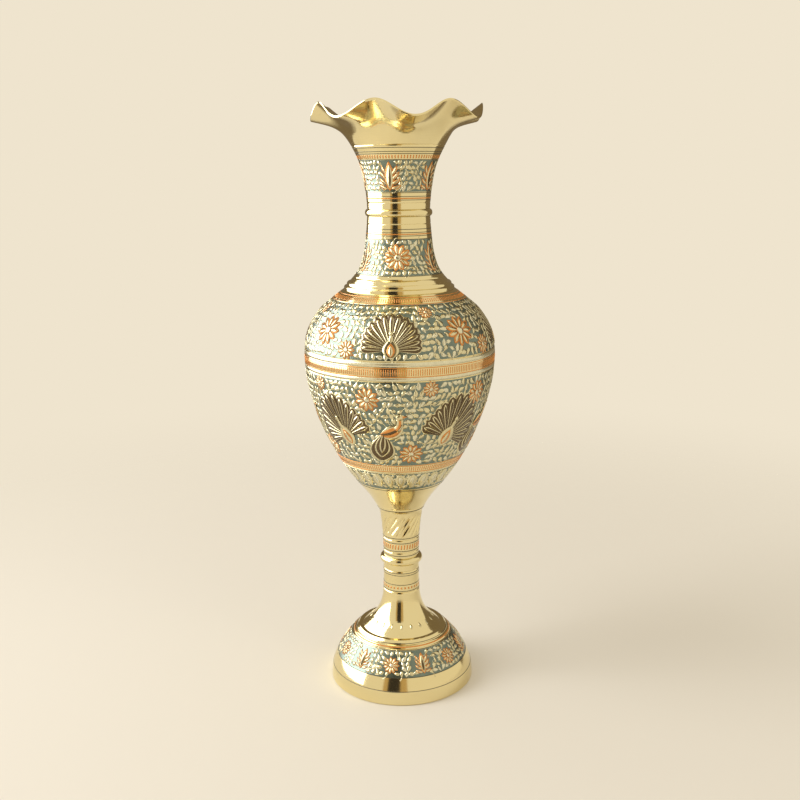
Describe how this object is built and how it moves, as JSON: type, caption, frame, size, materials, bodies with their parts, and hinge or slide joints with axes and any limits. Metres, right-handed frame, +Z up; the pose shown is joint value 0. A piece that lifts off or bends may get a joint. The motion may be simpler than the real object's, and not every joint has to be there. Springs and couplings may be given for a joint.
{
  "type": "pedestal vase",
  "caption": "Tall brass vase with a domed foot, slim stem, rounded belly, long neck and a trumpet mouth with a lobed lip, engraved and coloured.",
  "frame": {"origin": "centre of the foot's resting plane", "axes": "+Z up along the vase's axis, front towards -Y"},
  "size_m": [0.0986, 0.0986, 0.3049],
  "materials": {
    "engraved_brass": "polished, engraved and filled with coloured lac",
    "polished_brass": "polished",
    "raw_brass": "as spun, unpolished",
    "steel": "plain"
  },
  "bodies": {
    "root": {"foot_dome": "engraved_brass", "stem_lower": "polished_brass", "stem_ring": "polished_brass", "stem_upper": "engraved_brass", "belly_lower": "engraved_brass", "belly_upper": "engraved_brass", "waist_lap_ring": "raw_brass", "shoulder_collar": "polished_brass", "neck_lower": "engraved_brass", "neck_ring": "polished_brass", "mouth_flare": "engraved_brass", "tie_rod": "steel", "foot_washer": "raw_brass", "foot_nut": "steel"}
  },
  "joints": []
}
